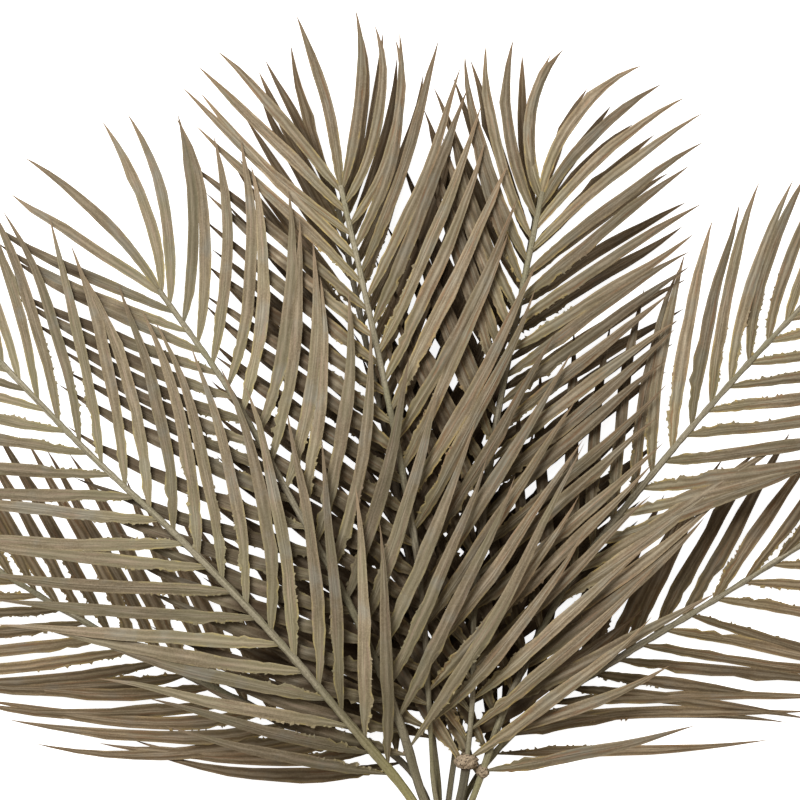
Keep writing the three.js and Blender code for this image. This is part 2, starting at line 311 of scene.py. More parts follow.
def makeRimAndPaintedLightGroup():
    shape = rimAndPaintedLightShape
    group, entry, result = startGroup(
        "wornRimAndPaintedLight", {"Map": None, "Draw": 0.0, "Width": 0.3, "Reach": 0.5},
        ["Rim", "Margin", "Trough", "Crease", "Ridge"],
    )
    across, along = splitMap(group, entry.outputs["Map"])
    fromMiddle = addMath(group, "SUBTRACT", across, 0.5)
    outward = multiply(group, addMath(group, "ABSOLUTE", fromMiddle), 2)
    side = addMath(group, "SIGN", fromMiddle)
    draw = multiply(group, entry.outputs["Draw"], drawShift["rim"])
    wanderPlace = addVector(group, side, multiply(group, along, shape["wanderStep"]), draw)
    patchPlace = addVector(group, side, multiply(group, along, shape["patchStep"]), draw)
    wander = addMath(group, "SUBTRACT", addNoise(group, wanderPlace, *shape["wanderNoise"]), 0.5)
    unsteady = addMath(group, "ADD", outward, multiply(group, wander, shape["wander"]))
    edgeStart = addMath(group, "SUBTRACT", 1, entry.outputs["Width"])
    edge = addRange(group, outward, edgeStart, shape["edgeTo"])
    fade = addRange(group, along, shape["fadeFrom"], entry.outputs["Reach"], 1, 0)
    margin = addRange(group, unsteady, *shape["margin"])
    rising = addRange(group, unsteady, *shape["rising"])
    falling = addRange(group, unsteady, *shape["falling"], 1, 0)
    masks = {
        "Rim": (multiply(group, edge, fade), addMask(group, patchPlace, shape["patches"])),
        "Margin": (margin, addMask(group, patchPlace, shape["bleached"])),
        "Trough": (rising, falling),
        "Crease": (addRange(group, outward, *shape["crease"], 1, 0), 1),
        "Ridge": (addRange(group, unsteady, *shape["ridge"], 1, 0), 1),
    }
    for name, (first, second) in masks.items():
        group.links.new(multiply(group, first, second), result.inputs[name])
    return group


# Dry patches: soft blotches over the whole object where a leaf dried browner or greyer, and specks
patchMasks = {
    "Warm": {"noise": (17.0, 4, 0.6), "ends": (0.42, 0.66)},
    "Cool": {"noise": (31.0, 3, 0.6), "ends": (0.5, 0.7)},
    "Specks": {"noise": (620.0, 3, 0.65), "ends": (0.35, 0.7)},
}


def makePatchGroup():
    group, entry, result = startGroup("dryPatches", {"Place": None, "Draw": 0.0}, patchMasks)
    shift = multiply(group, entry.outputs["Draw"], drawShift["patches"])
    both = {0: entry.outputs["Place"], 1: addVector(group, 0, 0, shift)}
    lifted = addNode(group, "VectorMath", both, operation="ADD")
    for name, mask in patchMasks.items():
        group.links.new(addMask(group, lifted, mask), result.inputs[name])
    return group


fibreGroup = makeFibreGroup()
rimAndPaintedLightGroup = makeRimAndPaintedLightGroup()
patchGroup = makePatchGroup()


# A dry material and the masks that leaves, ribs and twine share
def startMaterial(name, look):
    material = bpy.data.materials.new(name)
    material.use_nodes = True
    tree = material.node_tree
    surface = tree.nodes["Principled BSDF"]
    feed(tree, surface, {"Roughness": look["roughness"], "Specular IOR Level": look["specular"]})
    leafMap = addNode(tree, "UVMap", {}, uv_map="leafMap")
    masks = {"Map": leafMap, "Draw": attributeOf(tree, "leafDraw")}
    fibre = placeGroup(tree, fibreGroup, {**masks, "Fineness": look["fineness"], "Stretch": look["stretch"]})
    place = addNode(tree, "TexCoord", {}, "Object")
    patches = placeGroup(tree, patchGroup, {"Place": place, "Draw": masks["Draw"]})
    return material, tree, surface, {**masks, **fibre, **patches}


# Masks added up, each with its strength. A strength that is a word is read from the look.
def addUp(tree, total, masks, look, terms):
    for maskName, strength in terms:
        part = multiply(tree, masks[maskName], look.get(strength, strength))
        total = addMath(tree, "ADD", part, total)
    return total


# Colours laid over one another in order: the mask that each follows, its strength and its name
def layOver(tree, body, masks, look, layers):
    for maskName, strength, colourName in layers:
        share = multiply(tree, masks[maskName], look.get(strength, strength))
        body = addColours(tree, share, body, look[colourName])
    return body


def addBump(tree, height, look):
    values = {"Strength": look["bump"], "Distance": look["bumpDepth"] * mm, "Height": height}
    return addNode(tree, "Bump", values, "Normal")


# Leaf looks, from the front of the pile to its back: strengths of some masks, then the colours. The back
# look is darker and browner, partly as the fronds' own colour and partly as painted shade for leaves low in
# the pile, and the middle and back looks lay stronger painted shade on either side of the middle and
# stronger painted highlights down it.
leafLooks = {
    "front": {
        "rusty": 0.45, "paintedFlankShade": 0.32, "ridge": 0.22, "streaky": 0.18,
        "dark": (0.092, 0.070, 0.040), "pale": (0.332, 0.268, 0.178),
        "green": (0.205, 0.195, 0.118), "cool": (0.245, 0.238, 0.200),
        "root": (0.300, 0.276, 0.158), "paintedRidgeHighlight": (0.400, 0.355, 0.275),
        "rust": (0.330, 0.240, 0.178), "margin": (0.350, 0.285, 0.165),
        "tip": (0.330, 0.235, 0.150), "rim": (0.360, 0.295, 0.125),
    },
    "middle": {
        "rusty": 0.5, "paintedFlankShade": 0.5, "ridge": 0.38, "streaky": 0.28,
        "dark": (0.098, 0.070, 0.039), "pale": (0.370, 0.300, 0.205),
        "green": (0.195, 0.178, 0.105), "cool": (0.235, 0.230, 0.185),
        "root": (0.255, 0.232, 0.112), "paintedRidgeHighlight": (0.375, 0.340, 0.268),
        "rust": (0.240, 0.118, 0.054), "margin": (0.370, 0.272, 0.145),
        "tip": (0.320, 0.215, 0.130), "rim": (0.400, 0.300, 0.110),
    },
    "back": {
        "rusty": 0.6, "paintedFlankShade": 0.65, "ridge": 0.45, "streaky": 0.32,
        "dark": (0.084, 0.056, 0.030), "pale": (0.330, 0.250, 0.150),
        "green": (0.160, 0.136, 0.076), "cool": (0.195, 0.175, 0.138),
        "root": (0.205, 0.176, 0.082), "paintedRidgeHighlight": (0.330, 0.275, 0.205),
        "rust": (0.190, 0.098, 0.046), "margin": (0.340, 0.235, 0.115),
        "tip": (0.280, 0.185, 0.108), "rim": (0.350, 0.255, 0.090),
    },
}
leafFinish = {
    "roughness": 0.72, "roughest": 0.84, "smoothest": 0.64, "specular": 0.15, "bump": 0.7, "bumpDepth": 0.8,
    "fineness": 5.0, "stretch": 11.0, "rimWidth": 0.34, "rimReach": 0.6, "leastRidge": 0.4,
    "rootFade": (0.02, 0.4, 0.5, 0), "tipFade": (0.8, 1, 0, 0.7), "folded": (0.45, 0.55),
    "tones": (0.66, 1.3),
}
leafLevels = {"least": 0.2, "terms": [("Streaks", "streaky"), ("Bands", 0.26), ("Specks", 0.34)]}
# Colours laid over the body: Trough is painted shade on either side of the middle, Ridge a painted highlight
# down the middle, Fold a painted line of shade and Crest a painted highlight line
leafLayers = [
    ("Warm", 0.5, "green"), ("Cool", 0.65, "cool"), ("Root", 1, "root"), ("Trough", "paintedFlankShade", "dark"),
    ("Ridge", "ridge", "paintedRidgeHighlight"), ("Fold", 0.35, "dark"), ("Crest", 0.3, "pale"),
    ("Rust", "rusty", "rust"), ("Margin", 0.4, "margin"), ("Tip", 1, "tip"), ("Rim", 1, "rim"),
]
leafRelief = [
    ("Bands", 0.4), ("Streaks", 0.5), ("Specks", 0.35), ("Margin", 0.6), ("Trough", -0.6),
    ("Fold", -0.8), ("Crest", 0.4),
]
# Painted shade: the dark brown mixed in where the leaves above hide the sky, from one share of hidden sky to
# a fuller one, and at most this much
paintedShadeLook = {"colour": (0.042, 0.025, 0.012), "from": 0.1, "to": 0.8, "most": 0.88}


# Painted shade: where the leaves above hide the sky, leaves and ribs are mixed towards a dark brown
def addPaintedShade(tree, body):
    hidden = attributeOf(tree, "paintedShadeShare")
    deep = addRange(tree, hidden, paintedShadeLook["from"], paintedShadeLook["to"], 0, paintedShadeLook["most"], "LINEAR")
    return addColours(tree, deep, body, paintedShadeLook["colour"])


# A leaflet's middle line is either a fold, painted as a dark line of shade, or a crest, painted as a pale
# highlight line
def makeLeafMaterial(name, look):
    finish = leafFinish
    material, tree, surface, masks = startMaterial(name, finish)
    masks.update(placeGroup(tree, rimAndPaintedLightGroup, {
        "Map": masks["Map"], "Draw": masks["Draw"], "Width": finish["rimWidth"], "Reach": finish["rimReach"],
    }))
    along = splitMap(tree, masks["Map"])[1]
    masks["Root"] = addRange(tree, along, *finish["rootFade"])
    masks["Tip"] = addRange(tree, along, *finish["tipFade"])
    uneven = addRange(tree, masks["Bands"], 0, 1, finish["leastRidge"], 1)
    masks["Ridge"] = multiply(tree, masks["Ridge"], uneven)
    folded = addRange(tree, masks["Draw"], *finish["folded"])
    masks["Fold"] = multiply(tree, masks["Crease"], folded)
    masks["Crest"] = addMath(tree, "SUBTRACT", masks["Crease"], masks["Fold"])

    level = addUp(tree, leafLevels["least"], masks, look, leafLevels["terms"])
    body = addColours(tree, level, look["dark"], look["pale"])
    body = layOver(tree, body, masks, look, leafLayers)
    shade = addRange(tree, attributeOf(tree, "leafTone"), 0, 1, *finish["tones"], "LINEAR")
    body = addNode(tree, "HueSaturation", {"Color": body, "Value": shade})
    # The colour gets painted shade where the leaves above hide the sky
    feed(tree, surface, {
        "Base Color": addPaintedShade(tree, body),
        "Roughness": addRange(tree, masks["Streaks"], 0, 1, finish["roughest"], finish["smoothest"]),
        "Normal": addBump(tree, addUp(tree, 0, masks, look, leafRelief), finish),
    })
    return material


ribLook = {
    "dark": (0.150, 0.130, 0.085), "pale": (0.410, 0.370, 0.270), "green": (0.250, 0.240, 0.145),
    "stemGreen": (0.400, 0.370, 0.150), "stemDark": (0.095, 0.084, 0.062),
    "scurf": (0.060, 0.042, 0.028), "knob": (0.430, 0.325, 0.225),
    "roughness": 0.66, "specular": 0.2, "bump": 0.5, "bumpDepth": 0.5, "fineness": 9.0, "stretch": 14.0,
    "leastStain": 0.5, "scurfEnds": (0.45, 0.9), "leastScurf": 0.25, "knobScurf": 0.7,
}
ribLayers = [
    ("Bands", 0.45, "pale"), ("Warm", 0.7, "green"), ("Specks", 0.25, "dark"), ("stemGreen", 1, "stemGreen"),
    ("stemDark", 1, "stemDark"), ("stemRough", 0.75, "knob"), ("Scurf", 1, "scurf"),
]


def makeRibMaterial():
    look = ribLook
    material, tree, surface, masks = startMaterial("dryRib", look)
    uneven = addRange(tree, masks["Bands"], 0, 1, look["leastStain"], 1, "LINEAR")
    for name in ("stemGreen", "stemDark"):
        masks[name] = multiply(tree, attributeOf(tree, name), uneven)
    masks["stemRough"] = attributeOf(tree, "stemRough")
    rough = addUp(tree, look["leastScurf"], masks, look, [("stemRough", "knobScurf")])
    scurf = addRange(tree, masks["Specks"], *look["scurfEnds"])
    masks["Scurf"] = multiply(tree, scurf, rough)
    body = addColours(tree, masks["Streaks"], look["dark"], look["pale"])
    body = layOver(tree, body, masks, look, ribLayers)
    relief = addMath(tree, "ADD", masks["Streaks"], masks["Specks"])
    # The rib gets the same painted shade where the leaves above hide the sky
    feed(tree, surface, {"Base Color": addPaintedShade(tree, body), "Normal": addBump(tree, relief, look)})
    return material


leafMaterials = {name: makeLeafMaterial(name + "Leaf", look) for name, look in leafLooks.items()}
ribMaterial = makeRibMaterial()
print("Leaf and rib materials made")


# How the fronds are piled: the rows in the tie, and each frond's own layer out in the fan
pile = {
    "stemRadius": 3.0, "clearance": 0.3, "twineThickness": 2.4,
    "straightHalf": 13, "straightLead": 3, "splayMid": 0.5, "splayMidShare": 0.35,
    "cutRestFrom": 15, "cutRestTo": 90,
    "groundClear": 5.5, "layerPitch": 12, "spreadFrom": 20, "spreadTo": 210,
    "droopFrom": 330, "droopTo": 800, "droopShare": 0.55, "sinkTo": 600, "routeSteps": 80,
}
rowPitch = 2 * pile["stemRadius"] + pile["clearance"]
firstRow = pile["twineThickness"] + pile["clearance"] + pile["stemRadius"]


def openness(x, y):
    opened = smoothStep(pile["spreadFrom"], pile["spreadTo"], np.hypot(x, y))
    return np.where(np.asarray(y) < 0, 0, opened)


def droop(x, y):
    return 1 - pile["droopShare"] * smoothStep(pile["droopFrom"], pile["droopTo"], np.hypot(x, y))


def layerHeight(frond, x, y):
    rest = pile["twineThickness"] + pile["clearance"]
    lowered = rest * smoothStep(pile["cutRestFrom"], pile["cutRestTo"], -np.asarray(y, float))
    tied = firstRow + frond["row"] * rowPitch - lowered
    low = smoothStep(pile["droopFrom"], pile["sinkTo"], np.hypot(x, y))
    layers = frond["layer"] - frond.get("sink", 0) * low
    opened = pile["groundClear"] * (1 - low) + layers * pile["layerPitch"] * droop(x, y)
    return mix(tied, opened, openness(x, y))


# Each frond: its row and slot in the tie, its layer and how many layers it sinks by out in the fan,
# where its stem is cut and how far that end splays, the bare stem, the spacing of its leaflets (left,
# right), how much they crowd towards the tip, and the route of its rib. For each side, at a few shares
# of the leafy stretch: a leaflet's angle to the rib, its length and its bend to the tip. The leaflet at
# the very end has the same three values. "slim" widens or narrows one side's leaflets, first those low
# on the frond, then those near its tip. The stem near the tie is more or less stout, green and dark. It
# may say where that ends, from where it is thinner, and which rough knobs it has: how far each is from
# the tie, and its half width and half length.
fronds = [
    {"name": "frond_right_low", "leaf": "back", "row": 0, "slot": 1, "layer": 0,
     "cut": -104, "splay": 9, "bare": 104, "pitch": (30, 26), "crowding": 0.8,
     "route": [(20, 60), (49, 101), (92, 139), (157, 181), (257, 242), (372, 316)],
     "left": [(0, 36, 170, 8), (0.5, 29, 185, 6), (1, 12, 130, 0)],
     "right": [(0, 46, 235, 4), (0.05, 42, 255, -28), (0.1, 41, 237, -4), (0.17, 37, 255, -16),
               (0.24, 39, 205, 0), (0.3, 36, 150, 0), (0.37, 36, 245, 4), (0.53, 47, 235, -4),
               (1, 16, 135, 0)],
     "end": (3, 132, -6), "slim": {"left": (1.2, 1), "right": (0.88, 0.88)},
     "stem": {"stout": 0.85, "green": 0.5, "dark": 0.35}},
    {"name": "frond_left_low", "leaf": "back", "row": 0, "slot": -1, "layer": 1, "sink": 1,
     "cut": -112, "splay": -8, "bare": 100, "pitch": (23, 24),
     "route": [(-16, 60), (-47, 97), (-122, 119), (-207, 157), (-319, 215), (-454, 297)],
     "left": [(0, 42, 230, 30), (0.06, 19, 205, 28), (0.11, 13, 225, 26), (0.16, 17, 240, 26),
              (0.25, 22, 240, 24), (0.6, 31, 232, 14), (1, 20, 165, 0)],
     "right": [(0, 44, 190, 8), (0.5, 36, 215, 8), (1, 20, 160, 0)],
     "end": (2, 150, 6), "slim": {"right": (1.3, 0.92)},
     "stem": {"stout": 0.9, "green": 0.1, "dark": 0.35}},
    {"name": "frond_top_right_back", "leaf": "back", "row": 0, "slot": 0, "layer": 2, "sink": 2,
     "cut": -97, "splay": 2, "bare": 104, "pitch": (25, 25),
     "route": [(5, 60), (16, 141), (24, 229), (40, 355), (58, 445), (80, 560)],
     "left": [(0, 42, 185, 6), (0.64, 36, 200, 8), (0.86, 32, 195, 10), (0.95, 28, 175, 10),
              (1, 12, 135, 10)],
     "right": [(0, 44, 200, 4), (0.64, 48, 190, -2), (0.86, 46, 165, -6), (0.95, 35, 148, -12),
               (1, 22, 115, -16)],
     "end": (10, 120, -14), "slim": {"left": (1.45, 1), "right": (1.5, 1)},
     "stem": {"stout": 0.85, "green": 0.2, "dark": 0.3}},
    {"name": "frond_top_left_back", "leaf": "back", "row": 1, "slot": -1, "layer": 3, "sink": 2,
     "cut": -108, "splay": -6, "bare": 115, "pitch": (25, 25),
     "route": [(-4, 60), (-14, 141), (-27, 246), (-45, 348), (-67, 451), (-91, 566)],
     "left": [(0, 64, 205, 8), (0.15, 58, 210, 8), (0.35, 48, 205, 8), (0.64, 34, 200, 6),
              (0.86, 22, 165, 2), (1, 12, 148, -6)],
     "right": [(0, 43, 190, 6), (0.1, 40, 190, 6), (0.64, 34, 205, 4), (0.91, 30, 175, 14),
               (1, 22, 160, 22)],
     "end": (-5, 148, -10), "slim": {"left": (1.4, 1), "right": (1.35, 1)},
     "stem": {"stout": 0.9, "green": 0.3, "dark": 0.2}},
    {"name": "frond_right_high", "leaf": "middle", "row": 1, "slot": 1, "layer": 4,
     "cut": -101, "splay": 6, "bare": 84, "pitch": (25, 28),
     "route": [(26, 60), (54, 141), (104, 241), (176, 335), (251, 421), (338, 513)],
     "left": [(0, 40, 200, 8), (0.47, 31, 204, 14), (0.69, 29, 196, 18), (0.78, 25, 181, 32),
              (1, 12, 130, 6)],
     "right": [(0, 58, 195, 6), (0.05, 56, 155, 0), (0.11, 46, 190, 4), (0.18, 30, 210, 4),
               (0.28, 22, 215, 6), (0.38, 25, 220, 8), (0.46, 36, 215, 8), (0.56, 44, 205, 4),
               (0.82, 38, 180, 0), (1, 16, 140, 0)],
     "end": (-3, 130, 8),
     "stem": {"stout": 0.95, "green": 0.4, "dark": 0.1, "knobs": [(87, 5.5, 6)]}},
    {"name": "frond_top_right", "leaf": "middle", "row": 1, "slot": 0, "layer": 5,
     "cut": -115, "splay": 0, "bare": 92, "pitch": (23, 23),
     "route": [(15, 60), (24, 141), (26, 229), (42, 365), (58, 451), (84, 577)],
     "left": [(0, 40, 190, 6), (0.7, 30, 192, 10), (0.885, 28, 183, 24), (0.945, 26, 160, 28),
              (1, 2, 138, 60)],
     "right": [(0, 46, 206, 8), (0.35, 44, 213, 4), (0.75, 46, 188, 0), (0.9, 38, 192, -8),
               (0.965, 37, 168, -28), (1, 24, 148, -54)],
     "end": (-7, 126, -62),
     "stem": {"stout": 1.3, "green": 0, "dark": 0.9, "upTo": (88, 98), "thin": (96, 0.72),
              "knobs": [(93, 10, 7)]}},
    {"name": "frond_top_left", "leaf": "middle", "row": 2, "slot": 1, "layer": 6,
     "cut": -99, "splay": 7, "bare": 125, "pitch": (25, 25),
     "route": [(-7, 60), (-13, 146), (-20, 246), (-37, 348), (-60, 458), (-88, 582)],
     "left": [(0, 60, 195, 6), (0.25, 52, 200, 6), (0.6, 42, 200, 4), (0.8, 36, 199, -4),
              (0.88, 32, 193, 10), (0.955, 35, 182, 0), (1, 25, 156, -8)],
     "right": [(0, 42, 205, 8), (0.3, 37, 238, 8), (0.75, 34, 225, 8), (0.82, 33, 216, 10),
               (0.88, 27, 208, 40), (0.96, 24, 160, 44), (1, 18, 152, 24)],
     "end": (-2, 155, 18), "slim": {"left": (1.2, 1)},
     "stem": {"stout": 0.75, "green": 0.3, "dark": 0.1, "thin": (90, 0.75)}},
    {"name": "frond_left_high", "leaf": "front", "row": 2, "slot": 0, "layer": 7,
     "cut": -110, "splay": 1, "bare": 105, "pitch": (25, 25),
     "route": [(-6, 32), (-18, 60), (-38, 127), (-72, 211), (-124, 307), (-181, 407), (-242, 493)],
     "left": [(0, 56, 205, 8), (0.25, 48, 215, 8), (0.5, 38, 215, 10), (0.82, 33, 200, 14),
              (0.96, 27, 180, 10), (1, 21, 162, 0)],
     "right": [(0, 46, 310, 10), (0.1, 48, 220, 8), (0.5, 36, 207, 22), (0.8, 33, 207, 30),
               (0.95, 32, 178, 30), (1, 17, 152, 32)],
     "end": (-10, 166, 26), "slim": {"left": (1.12, 1)},
     "stem": {"stout": 1.3, "green": 0.15, "dark": 0.45}},
    {"name": "frond_left_front", "leaf": "front", "row": 2, "slot": -1, "layer": 8,
     "cut": -103, "splay": -8, "bare": 94, "pitch": (28, 28),
     "route": [(-14, 32), (-29, 60), (-64, 106), (-133, 190), (-217, 278), (-304, 359), (-386, 442)],
     "left": [(0, 40, 205, 6), (0.12, 37, 212, 8), (0.3, 42, 235, 6), (0.7, 38, 205, 6), (1, 22, 170, 0)],
     "right": [(0, 36, 210, 0), (0.15, 34, 245, 10), (0.35, 30, 240, 26), (0.6, 34, 212, 20),
               (0.75, 31, 226, 14), (1, 20, 165, 16)],
     "end": (0, 160, 6), "slim": {"left": (0.95, 0.95), "right": (0.93, 0.93)},
     "stem": {"stout": 1.35, "green": 1, "dark": 0}},
]


# The plan of a whole stem and rib: points along it, and how far along each point is
def ribPath(frond):
    slotX = frond["slot"] * rowPitch
    half, lead = pile["straightHalf"], pile["straightLead"]
    points = np.array([
        (slotX + frond["splay"], frond["cut"]),
        (slotX + frond["splay"] * pile["splayMidShare"], frond["cut"] * pile["splayMid"]),
        (slotX, -half), (slotX, lead - half), (slotX, half - lead), (slotX, half),
        *frond["route"],
    ], float)
    knots = np.vstack([2 * points[0] - points[1], points, 2 * points[-1] - points[-2]])
    steps = np.linspace(0, 1, pile["routeSteps"], endpoint=False)[:, None]
    pieces = []
    for p0, p1, p2, p3 in zip(knots, knots[1:], knots[2:], knots[3:]):
        d0, d1, d2 = (math.sqrt(np.linalg.norm(b - a)) for a, b in ((p0, p1), (p1, p2), (p2, p3)))
        leave = ((p1 - p0) / d0 - (p2 - p0) / (d0 + d1) + (p2 - p1) / d1) * d1
        arrive = ((p2 - p1) / d1 - (p3 - p1) / (d1 + d2) + (p3 - p2) / d2) * d1
        second = -3 * p1 + 3 * p2 - 2 * leave - arrive
        third = 2 * p1 - 2 * p2 + leave + arrive
        pieces.append(p1 + leave * steps + second * steps ** 2 + third * steps ** 3)
    path = np.vstack(pieces + [points[-1:]])
    reached = np.concatenate([[0], np.cumsum(np.linalg.norm(np.diff(path, axis=0), axis=1))])
    return path, reached


def headingAt(path, reached, distance):
    ahead, behind = rowsAt(distance + 1, reached, path), rowsAt(distance - 1, reached, path)
    return math.atan2(ahead[0] - behind[0], ahead[1] - behind[1])


# The same chain of seeded draws between -1 and 1 as the solids were laid out with
drawChain = {"factor": 1664525, "step": 1013904223, "span": 2 ** 32}


def seededDraws(seed):
    chain = drawChain
    state = seed

    def draw():
        nonlocal state
        state = (state * chain["factor"] + chain["step"]) % chain["span"]
        return state / chain["span"] * 2 - 1

    return draw


def between(keys, share):
    following = 1
    while following < len(keys) - 1 and keys[following][0] < share:
        following += 1
    low, high = keys[following - 1], keys[following]
    part = min(1, max(0, (share - low[0]) / (high[0] - low[0])))
    return [mix(a, b, part) for a, b in zip(low[1:], high[1:])]


leafletLayout = {
    "angleJitter": 2.5, "lengthJitter": 0.05, "bendJitter": 6, "bankLimit": 16, "slimOver": (0.25, 0.7),
    "sideStagger": 0.22, "crowding": 1.15, "lastRootInset": 4, "endRootInset": 2, "firstSeed": 101,
}


# Every leaflet of a frond: its root, heading, length, curl, share of the leafy stretch, bank and how
# slim it is. They stand closer together towards the tip, which ends in a leaflet of its own.
def leafletsOf(frond, order, path, reached):
    layout = leafletLayout
    total = reached[-1]
    leafy = total + frond["cut"] - frond["bare"]
    draw = seededDraws(layout["firstSeed"] + order)
    for sideName, side, pitch in (("left", -1, frond["pitch"][0]), ("right", 1, frond["pitch"][1])):
        count = round(leafy / pitch)
        slimBase, slimTip = frond.get("slim", {}).get(sideName, (1, 1))
        for i in range(count + 1):
            even = min(1, max(0, (i + side * layout["sideStagger"]) / count))
            share = 1 - (1 - even) ** frond.get("crowding", layout["crowding"])
            at = total - leafy * (1 - share) - layout["lastRootInset"]
            angle, length, bend = between(frond[sideName], share)
            swing = math.radians(angle + layout["angleJitter"] * draw())
            turned = headingAt(path, reached, at) + side * swing
            length *= 1 + layout["lengthJitter"] * draw()
            curl = side * math.radians(bend + layout["bendJitter"] * draw())
            bank = math.radians(layout["bankLimit"] * draw())
            slim = mix(slimBase, slimTip, smoothStep(*layout["slimOver"], share))
            yield rowsAt(at, reached, path), turned, length, curl, share, bank, slim
    at = total - layout["endRootInset"]
    angle, length, bend = frond["end"]
    turned = headingAt(path, reached, at) + math.radians(angle)
    yield rowsAt(at, reached, path), turned, length, math.radians(bend), 1, 0, 1


# One leaflet is modelled once: a four-cornered stalk drawn out station by station into a keeled blade
leafletShape = {
    "width": 11.3, "keel": 2.5, "thickness": 0.6, "stalkHeight": 2.6, "stalkTo": 0.06, "centreWithin": 0.01,
    "stations": [
        0, 0.013, 0.03, 0.05, 0.07, 0.09, 0.11, 0.13, 0.15, 0.17,
        0.2, 0.24, 0.3, 0.38, 0.47, 0.56, 0.65, 0.75, 0.85, 0.94,
    ],
    "widths": [
        0.28, 0.32, 0.42, 0.55, 0.64, 0.71, 0.76, 0.8, 0.83, 0.86,
        0.89, 0.93, 0.97, 1, 1, 0.97, 0.89, 0.73, 0.49, 0.22,
    ],
}


def makeLeafletMaster():
    shape = leafletShape
    stations, widths = shape["stations"], shape["widths"]
    half = shape["width"] / 2 * mm
    selectNothing()
    bpy.ops.mesh.primitive_circle_add(
        vertices=4, radius=half * widths[0], fill_type="NGON", rotation=(math.pi / 2, 0, 0))
    master = bpy.context.object
    master.name = "leafletMaster"
    bpy.ops.object.transform_apply(location=False, rotation=True, scale=False)
    bpy.ops.object.mode_set(mode="EDIT")
    bpy.ops.mesh.select_all(action="SELECT")
    for i in range(1, len(stations)):
        grow = widths[i] / widths[i - 1]
        step = stations[i] - stations[i - 1]
        bpy.ops.mesh.extrude_region_move(TRANSFORM_OT_translate={"value": (0, step, 0)})
        bpy.ops.transform.resize(value=(grow, 1, grow))
    bpy.ops.mesh.extrude_region_move(TRANSFORM_OT_translate={"value": (0, 1 - stations[-1], 0)})
    bpy.ops.mesh.merge(type="CENTER")
    bpy.ops.mesh.select_all(action="SELECT")
    bpy.ops.mesh.normals_make_consistent(inside=False)
    bpy.ops.object.mode_set(mode="OBJECT")

    # Fold the section: the upper corner becomes the keel and the lower one its underside
    places = verticesOf(master)
    share = places[:, 1]
    wide = np.interp(share, stations + [1], widths + [0])
    stalk = 1 - smoothStep(0, shape["stalkTo"], share)
    keel = shape["keel"] * wide * mm
    upper = mix(keel, shape["stalkHeight"] / 2 * mm, stalk)
    lower = mix(keel - np.minimum(shape["thickness"] * mm, keel), -shape["stalkHeight"] / 2 * mm, stalk)
    central = np.abs(places[:, 0]) < half * shape["centreWithin"]
    onTop, below = central & (places[:, 2] > 0), central & (places[:, 2] < 0)
    places[:, 2] = np.where(onTop, upper, np.where(below, lower, 0))
    master.data.vertices.foreach_set("co", places.ravel())

    leafMap = master.data.uv_layers.new(name="leafMap")
    edgeSide = np.sign(np.round(places[:, 0] / half, 4))
    for loop in master.data.loops:
        i = loop.vertex_index
        leafMap.data[loop.index].uv = (0.5 + 0.5 * edgeSide[i], share[i])
    selectOnly([master])
    bpy.ops.object.shade_smooth_by_angle(angle=smoothUpTo)
    return master


# The crumbled edge of a leaflet is modelled once too: a row of small eight-sided flakes
crumbShape = {
    "count": 11, "from": 0.03, "to": 0.36, "share": 0.75, "upTo": 0.85, "inset": 0.1, "tilt": 0.3,
    "size": 2.6, "sizes": (0.4, 1.25), "widths": (0.35, 1), "flat": 0.2,
    "mapAcross": 0.9, "mapFrom": 0.05, "mapStep": 0.03,
}


def makeCrumbMaster():
    shape = crumbShape
    flakes = []
    for k in range(shape["count"]):
        selectNothing()
        bpy.ops.mesh.primitive_uv_sphere_add(segments=4, ring_count=2, radius=1, location=(0, 0, 0))
        flake = bpy.context.object
        flake.data.uv_layers[0].name = "leafMap"
        setNumbers(flake.data, "crumbOrder", k)
        flakes.append(flake)
    crumbs = joinParts(flakes, "crumbMaster")
    leafMap = crumbs.data.uv_layers["leafMap"]
    orders = crumbOrders(crumbs)
    for loop in crumbs.data.loops:
        along = shape["mapFrom"] + shape["mapStep"] * orders[loop.vertex_index]
        leafMap.data[loop.index].uv = (shape["mapAcross"], along)
    return crumbs


def crumbOrders(master):
    orders = np.zeros(len(master.data.vertices))
    master.data.attributes["crumbOrder"].data.foreach_get("value", orders)
    return orders.astype(int)


# Where the crumbs of one leaflet go: along its worn edge, each turned and sized by a draw
def crumbPlaces(master, orders, edge, edgeShare, hand):
    shape = crumbShape
    places = verticesOf(master)
    moved = np.zeros_like(places)
    step = (shape["to"] - shape["from"]) / shape["count"]
    tilt = shape["tilt"]
    for k in range(shape["count"]):
        centre = rowsAt(shape["from"] + step * (k + hand.random()), edgeShare, edge)
        size = shape["size"] * mm * hand.uniform(*shape["sizes"])
        turn = Euler((hand.uniform(-tilt, tilt), hand.uniform(-tilt, tilt), hand.uniform(*anyTurn)))
        scale = np.array([1, hand.uniform(*shape["widths"]), shape["flat"]])
        flake = places[orders == k] * scale * size
        moved[orders == k] = centre + flake @ np.array(turn.to_matrix()).T
    moved[:, 2] = np.maximum(moved[:, 2], 0)
    return moved


